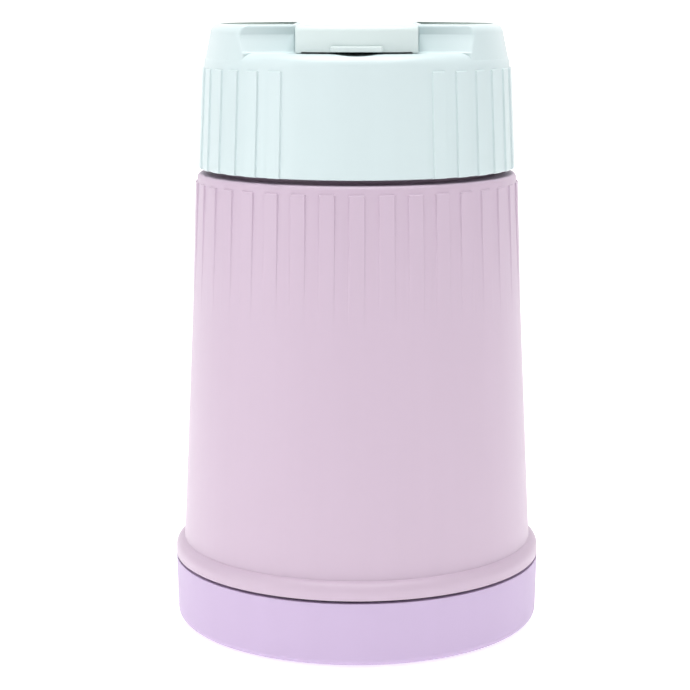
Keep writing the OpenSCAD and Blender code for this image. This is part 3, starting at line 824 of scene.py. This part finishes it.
def build_dish(centre_y, half_w, half_len, bottom_z, depth, thickness):
    """A dished oval, with its rim at the top: two nested dishes that are joined at the rim."""
    rings, columns = 14, 96
    vertices = []
    for side in (0, 1):
        for i in range(rings):
            t = 1 - i / rings
            z = bottom_z + depth * t * t + thickness * side
            turns = even_angles(columns)
            vertices += [
                (half_w * t * math.cos(a), centre_y + half_len * t * math.sin(a), z) for a in turns
            ]
    vertices += [(0, centre_y, bottom_z), (0, centre_y, bottom_z + thickness)]
    faces = []
    for side in (0, 1):
        first = side * rings * columns
        last = first + (rings - 1) * columns
        centre = 2 * rings * columns + side
        for a in range(first, last, columns):
            b = a + columns
            for j in range(columns):
                k = (j + 1) % columns
                faces.append((a + j, a + k, b + k, b + j))
        faces += [(last + j, last + (j + 1) % columns, centre) for j in range(columns)]
    for j in range(columns):
        k = (j + 1) % columns
        faces.append((j, k, rings * columns + k, rings * columns + j))
    return smooth(new_object("spoon_bowl_dish", vertices, faces))


def build_spoon_bowl():
    """A dish with a flat tang that carries the rivet."""
    lo, hi = low("spoon_bowl"), high("spoon_bowl")
    handle_half = high("spoon_handle").x
    gauge, length = 1.2 * MM, 36 * MM
    tang_z = low("spoon_handle").z - 0.2 * MM - gauge
    centre_y = lo.y + length / 2
    dish = build_dish(centre_y, hi.x, length / 2, lo.z, tang_z - lo.z, gauge * 0.8)
    tang_y = centre_y + length / 2 - 3 * MM
    loops = bar_loops(
        handle_half * 0.92, tang_y, hi.y - handle_half, tang_z, tang_z + gauge, 0.3 * MM
    )
    return boolean(dish, loft("tang", loops), "UNION")


def build_rivet():
    lo, hi = low("spoon_rivet"), high("spoon_rivet")
    r = hi.x
    cap = 0.2 * MM
    side = [(r, lo.z, 0.4 * MM), (r, hi.z, 0.6 * MM)]
    outline = rounded([(cap, lo.z)] + side + [(cap, hi.z)], closed=False)
    rivet = lathe("spoon_rivet_pin", outline, even_angles(48), closed=False)
    rivet.location.y = (lo.y + hi.y) / 2
    return rivet


# ---------------------------------------------------------------- pieces of the base


def build_base_cup():
    r = outer_r("base_cup")
    z0, z1 = low("base_cup").z, high("base_cup").z
    wall, edge, draft = 2.2 * MM, 2.4 * MM, 0.4 * MM
    pad_in, pad_out = outer_r("foot_pad") - 9.6 * MM, outer_r("foot_pad") + 0.2 * MM
    pad_z = high("foot_pad").z
    thread_low, thread_high = z0 + 10 * MM, z1 - 0.8 * MM
    outline = rounded(
        [
            (CAP_R, z0),
            (pad_in, z0, 0.3 * MM),
            (pad_in, pad_z),
            (pad_out, pad_z),
            (pad_out, z0, 0.3 * MM),
            (r - draft, z0, edge),
            (r, z1, SEAM_ROUND),
            (r - wall, z1, 0.3 * MM),
        ]
        + [(r - wall, z) for z in np.linspace(thread_high, thread_low, 40)]
        + [(r - wall, z0 + wall, 1.6 * MM), (CAP_R, z0 + wall)],
        closed=False,
        steps=9,
    )
    screw = thread(thread_low, thread_high, BASE_THREAD_PITCH, -THREAD_H)

    def inside_only(radius, z, turn):
        inside = (np.abs(radius - (r - wall)) < 0.05 * MM) & (z > thread_low - 1e-6)
        return np.where(inside, screw(radius, z, turn), radius)

    return lathe("base_cup_moulding", outline, even_angles(256), closed=False, radius_of=inside_only)


def build_base_liner():
    r = 49.1 * MM
    z1 = low("base_gasket").z - 0.1 * MM
    z0 = z1 - 1.8 * MM
    lip_out = outer_r("base_gasket") - 5.2 * MM
    top = high("base_liner").z
    outline = rounded(
        [
            (CAP_R, z0),
            (r, z0, 0.4 * MM),
            (r, z1, 0.5 * MM),
            (lip_out, z1),
            (lip_out, top, 0.3 * MM),
            (lip_out - 1.2 * MM, top, 0.3 * MM),
            (lip_out - 1.2 * MM, z1, 0.4 * MM),
            (30 * MM, z1, 0.3 * MM),
            (29 * MM, z1 - 0.4 * MM, 0.3 * MM),
            (12 * MM, z1 - 0.4 * MM, 0.3 * MM),
            (11 * MM, z1, 0.3 * MM),
            (CAP_R, z1),
        ],
        closed=False,
    )
    return lathe("base_liner_moulding", outline, even_angles(192), closed=False)


def build_foot_pad():
    """A non-slip ring with fine grooves round its sole."""
    r = outer_r("foot_pad")
    z0, z1 = low("foot_pad").z, high("foot_pad").z
    width = 9.2 * MM
    groove, land, depth = 0.6 * MM, 1.0 * MM, 0.35 * MM
    slope = 0.1 * MM
    sole = []
    x = r - width + land
    while x + groove < r - land:
        sole += [
            (x, z0, slope),
            (x + slope, z0 + depth, slope),
            (x + groove - slope, z0 + depth, slope),
            (x + groove, z0, slope),
        ]
        x += groove + land
    rim = [(r, z0, 0.5 * MM), (r, z1, 0.3 * MM), (r - width, z1, 0.3 * MM)]
    outline = rounded([(r - width, z0, 0.5 * MM)] + sole + rim, steps=3)
    return lathe("non_slip_ring", outline, even_angles(192))


# ---------------------------------------------------------------- materials


class Nodes:
    """Adds nodes to one material, and links them."""

    def __init__(self, name):
        self.material = bpy.data.materials.new(name)
        self.material.use_nodes = True
        self.tree = self.material.node_tree
        self.shader = self.tree.nodes["Principled BSDF"]
        self.place = self.add("ShaderNodeTexCoord").outputs["Object"]

    def add(self, kind, **values):
        node = self.tree.nodes.new(kind)
        for key, value in values.items():
            if hasattr(node, key):
                setattr(node, key, value)
            else:
                node.inputs[key.replace("_", " ")].default_value = value
        return node

    def link(self, output, target):
        self.tree.links.new(output, target)

    def noise(self, scale, detail=3.0, stretch=(1, 1, 1)):
        mapping = self.add("ShaderNodeMapping")
        mapping.inputs["Scale"].default_value = stretch
        self.link(self.place, mapping.inputs["Vector"])
        texture = self.add("ShaderNodeTexNoise", Scale=scale, Detail=detail)
        self.link(mapping.outputs["Vector"], texture.inputs["Vector"])
        return texture.outputs["Fac"]

    def spread(self, value, to_low, to_high, from_low=0.3, from_high=0.7):
        """The value stretched from one range to another. Most noise lies between 0.3 and 0.7."""
        node = self.add("ShaderNodeMapRange", clamp=True)
        node.inputs["From Min"].default_value = from_low
        node.inputs["From Max"].default_value = from_high
        node.inputs["To Min"].default_value = to_low
        node.inputs["To Max"].default_value = to_high
        self.link(value, node.inputs["Value"])
        return node.outputs["Result"]

    def mix(self, factor, a, b):
        """A blend of two colours, each a socket or three numbers."""
        node = self.add("ShaderNodeMix", data_type="RGBA")
        self.link(factor, node.inputs["Factor"])
        colour_inputs = [s for s in node.inputs if s.type == "RGBA"]
        for socket, value in zip(colour_inputs, (a, b)):
            if hasattr(value, "links"):
                self.link(value, socket)
            else:
                socket.default_value = (*value, 1)
        return [s for s in node.outputs if s.type == "RGBA"][0]

    def bump(self, height, distance, strength=1.0, below=None):
        node = self.add("ShaderNodeBump", Strength=strength, Distance=distance)
        self.link(height, node.inputs["Height"])
        if below is not None:
            self.link(below, node.inputs["Normal"])
        return node.outputs["Normal"]


def shade(colour, factor):
    return tuple(min(c * factor, 1.0) for c in colour)


def plastic(name, colour, roughness, grain, grain_depth, coat=0.0, mottle=0.012):
    """Moulded plastic: faint flow lines up the wall, a fine spark-eroded grain, and paler worn edges."""
    n = Nodes(name)
    flow = n.spread(n.noise(120, 2, (1, 1, 0.06)), 0, 1, 0.2, 0.8)
    body = n.mix(flow, shade(colour, 1 - mottle), shade(colour, 1 + mottle))
    pointiness = n.add("ShaderNodeNewGeometry").outputs["Pointiness"]
    edge = n.spread(pointiness, 0, 0.4, 0.56, 0.68)
    n.link(n.mix(edge, body, shade(colour, 1.06)), n.shader.inputs["Base Color"])
    rub = n.spread(n.noise(420, 3), roughness - 0.02, roughness + 0.03, 0.2, 0.8)
    n.link(rub, n.shader.inputs["Roughness"])
    n.link(n.bump(n.noise(grain, 2), grain_depth), n.shader.inputs["Normal"])
    n.shader.inputs["IOR"].default_value = 1.49
    n.shader.inputs["Coat Weight"].default_value = coat
    n.shader.inputs["Coat Roughness"].default_value = 0.18
    return n.material


def metal(name, colour, roughness, stretch, depth):
    """Bare metal with fine turning or brushing marks along one direction."""
    n = Nodes(name)
    marks = n.noise(900, 3, stretch)
    tint = n.mix(n.spread(marks, 0, 1), shade(colour, 0.93), shade(colour, 1.05))
    n.link(tint, n.shader.inputs["Base Color"])
    n.link(n.spread(n.noise(60, 4), roughness - 0.06, roughness + 0.08), n.shader.inputs["Roughness"])
    n.link(n.bump(marks, depth), n.shader.inputs["Normal"])
    n.shader.inputs["Metallic"].default_value = 1.0
    return n.material


def silicone(name, colour, roughness=0.5):
    n = Nodes(name)
    dust = n.spread(n.noise(500, 5), 0, 1, 0.45, 0.75)
    n.link(n.mix(dust, shade(colour, 0.96), shade(colour, 1.06)), n.shader.inputs["Base Color"])
    n.link(n.spread(n.noise(90, 3), roughness - 0.05, roughness + 0.1), n.shader.inputs["Roughness"])
    n.link(n.bump(n.noise(1800, 2), 0.00003), n.shader.inputs["Normal"])
    n.shader.inputs["Subsurface Weight"].default_value = 0.15
    n.shader.inputs["Subsurface Radius"].default_value = (0.002, 0.002, 0.002)
    return n.material


def foam(name, colour):
    """Closed-cell foam: small round cells pressed against each other."""
    n = Nodes(name)
    cells = n.add("ShaderNodeTexVoronoi", Scale=900.0)
    n.link(n.place, cells.inputs["Vector"])
    depth = n.spread(cells.outputs["Distance"], 0, 1, 0.0, 0.6)
    n.link(n.mix(depth, shade(colour, 0.86), shade(colour, 1.04)), n.shader.inputs["Base Color"])
    n.link(n.spread(n.noise(200, 3), 0.75, 0.9), n.shader.inputs["Roughness"])
    n.link(n.bump(depth, 0.0002), n.shader.inputs["Normal"])
    return n.material


# Colours are linear RGB, the grain's depth is in metres
MATERIALS = {
    "pink": plastic("pink_moulding", (0.520, 0.412, 0.512), 0.42, 2600, 0.000018),
    "neck": plastic("neck_moulding", (0.500, 0.360, 0.480), 0.42, 2600, 0.000018),
    # Painted shade: the base collar is coloured near-black so the seam between the base and the jar is
    # as dark as the shadow that falls into it
    "painted_seam_shade": plastic("painted_seam_shade_moulding", (0.030, 0.022, 0.030), 0.55, 2600, 0.000018),
    "violet": plastic("violet_soft_moulding", (0.500, 0.395, 0.572), 0.50, 3200, 0.00002),
    "mint": plastic("mint_moulding", (0.560, 0.655, 0.668), 0.34, 2000, 0.000006, coat=0.05),
    "cover": plastic("mint_cover_moulding", (0.590, 0.675, 0.670), 0.32, 2000, 0.000006, coat=0.05),
    "white": plastic("white_liner_moulding", (0.82, 0.85, 0.86), 0.35, 2200, 0.00001),
    "aluminium": metal("spun_aluminium", (0.80, 0.81, 0.83), 0.30, (0.05, 0.05, 1.0), 0.00001),
    "spoon": metal("brushed_spoon_steel", (0.68, 0.68, 0.69), 0.24, (1.0, 0.04, 1.0), 0.000006),
    "steel": metal("bright_steel", (0.62, 0.62, 0.64), 0.18, (0.1, 1.0, 1.0), 0.000004),
    "silicone": silicone("grey_silicone", (0.66, 0.70, 0.72)),
    "foot": silicone("violet_foot_rubber", (0.36, 0.26, 0.44), 0.62),
    "foam": foam("cream_foam", (0.90, 0.87, 0.76)),
}


# ---------------------------------------------------------------- the object


def dress(obj, material, body=None, stands_for=()):
    """Gives an object its material. A new piece also rides its body and replaces its nodes."""
    obj.data.materials.clear()
    obj.data.materials.append(MATERIALS[material])
    if body:
        # Flat faces keep their own direction where they meet a rounded edge
        modifier = obj.modifiers.new("flat_faces", "WEIGHTED_NORMAL")
        modifier.keep_sharp = True
        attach(obj, body)
        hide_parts(*stands_for)


def build_gasket(node, width):
    """A gasket with three sealing beads on each face."""
    r = outer_r(node)
    z0, z1 = low(node).z, high(node).z
    bead = 0.25 * MM
    step = width / 3
    outline = []
    for k in range(3):
        x = r - width + step * k
        outline += [(x + 0.15 * MM, z0 + bead, 0.2 * MM), (x + step / 2, z0, 0.3 * MM)]
    outline.append((r - 0.1 * MM, z0 + bead, 0.2 * MM))
    for k in range(3):
        x = r - step * k
        outline += [(x - 0.15 * MM if k else x, z1 - bead, 0.2 * MM), (x - step / 2, z1, 0.3 * MM)]
    outline.append((r - width, z1 - bead, 0.2 * MM))
    return lathe(node + "_ring", rounded(outline, steps=3), even_angles(192))


def build_hinge_pin():
    lo, hi = low("cover_hinge_pin"), high("cover_hinge_pin")
    r = (hi.z - lo.z) / 2
    cap = 0.05 * MM
    side = [(r, lo.x, 0.25 * MM), (r, hi.x, 0.25 * MM)]
    outline = rounded([(cap, lo.x)] + side + [(cap, hi.x)], closed=False)
    pin = lathe("cover_pin", outline, even_angles(32), closed=False)
    pin.rotation_euler = (0, math.pi / 2, 0)
    pin.location = (0, HINGE_Y, HINGE_Z)
    return pin


def build_all():
    dress(build_outer_shell(), "pink", "jar", ["outer_shell"])
    dress(build_neck_ring(), "neck", "jar", ["neck_ring"])
    # The collar behind the base seam gets the near-black painted shade, which stands in for the seam's
    # shadow
    dress(build_base_collar(), "painted_seam_shade", "jar", ["base_collar"])
    dress(build_canister(), "aluminium", "jar", ["canister"])
    dress(build_ice_chamber(), "white", "jar", ["ice_chamber"])
    lid_gasket = build_gasket("lid_gasket", 5.6 * MM)
    dress(lid_gasket, "silicone", "lid_seal", ["lid_gasket"])
    dress(build_lid_shell(), "mint", "lid", ["lid_shell"])
    dress(build_lid_liner(), "white", "lid", ["lid_liner"])
    dress(build_hinge_pin(), "steel", "lid", ["cover_hinge_pin"])
    dress(build_spoon_bowl(), "spoon", "lid", ["spoon_bowl"])
    dress(build_spoon_handle(), "spoon", "lid", ["spoon_handle"])
    dress(build_rivet(), "steel", "lid", ["spoon_rivet"])
    dress(build_cover(), "cover", "cover", ["spoon_cover"])
    base_gasket = build_gasket("base_gasket", 5 * MM)
    dress(base_gasket, "silicone", "base_seal", ["base_gasket"])
    dress(build_base_cup(), "violet", "base", ["base_cup"])
    dress(build_base_liner(), "white", "base", ["base_liner"])
    dress(build_foot_pad(), "foot", "base", ["foot_pad"])
    for node in ("jar_insulation", "lid_insulation", "base_insulation"):
        dress(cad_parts[node], "foam")
    for node in ("neck_seal", "canister_gasket"):
        dress(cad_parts[node], "silicone")
    dress(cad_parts["base_screws"], "steel")


# ---------------------------------------------------------------- stage, light and camera


def stage_material():
    n = Nodes("studio_floor")
    tint = n.mix(n.spread(n.noise(6, 2), 0, 1), (0.93, 0.93, 0.93), (0.95, 0.95, 0.95))
    n.link(tint, n.shader.inputs["Base Color"])
    n.shader.inputs["Roughness"].default_value = 0.9
    n.shader.inputs["Specular IOR Level"].default_value = 0.1
    n.shader.inputs["Emission Color"].default_value = (1, 1, 1, 1)
    n.shader.inputs["Emission Strength"].default_value = 0.54
    return n.material


def build_stage():
    """A pale sweep: the floor turns up into a backdrop behind the object."""
    half, front, back, height, bend = 4.0, -4.0, 3.0, 3.0, 1.0
    side = [(front, 0.0), (back - bend, 0.0)]
    side += arc((back - bend, bend), bend, -math.pi / 2, 0, 16)[1:]
    side.append((back, height))
    vertices = [(x, y, z) for y, z in side for x in (-half, half)]
    faces = [(2 * i, 2 * i + 1, 2 * i + 3, 2 * i + 2) for i in range(len(side) - 1)]
    sweep = smooth(new_object("studio_sweep", vertices, faces))
    sweep.data.materials.append(stage_material())


def area_light(name, place, target, size, watts):
    light = bpy.data.lights.new(name, "AREA")
    light.shape = "RECTANGLE"
    light.size, light.size_y = size
    light.energy = watts
    obj = bpy.data.objects.new(name, light)
    obj.location = place
    obj.rotation_euler = (Vector(target) - Vector(place)).to_track_quat("-Z", "Y").to_euler()
    obj.visible_camera = False
    bpy.context.scene.collection.objects.link(obj)


def build_light():
    world = bpy.data.worlds.new("studio")
    world.use_nodes = True
    background = world.node_tree.nodes["Background"]
    background.inputs["Color"].default_value = (1, 1, 1, 1)
    background.inputs["Strength"].default_value = 0.42
    scene = bpy.context.scene
    scene.world = world
    scene.view_settings.view_transform = "Standard"
    centre = (0, 0, 0.09)
    area_light("key_left", (-1.1, -0.5, 0.5), centre, (0.9, 1.2), 4.0)
    area_light("fill_right", (1.2, -0.4, 0.5), centre, (0.8, 1.2), 1.3)
    area_light("top", (0, -0.1, 1.2), centre, (1.0, 1.0), 15)


def build_camera():
    """The photo's view: slightly above the lid, looking down at the jar's middle."""
    camera = bpy.data.cameras.new("camera")
    camera.sensor_width = 36
    camera.lens = 99.30
    camera.shift_x = -0.0171
    obj = bpy.data.objects.new("camera", camera)
    obj.location = (0, -0.5545, 0.1822)
    obj.rotation_euler = (math.radians(90 - 10.31), 0, 0)
    bpy.context.scene.collection.objects.link(obj)
    bpy.context.scene.camera = obj


build_camera()
build_all()
build_stage()
build_light()
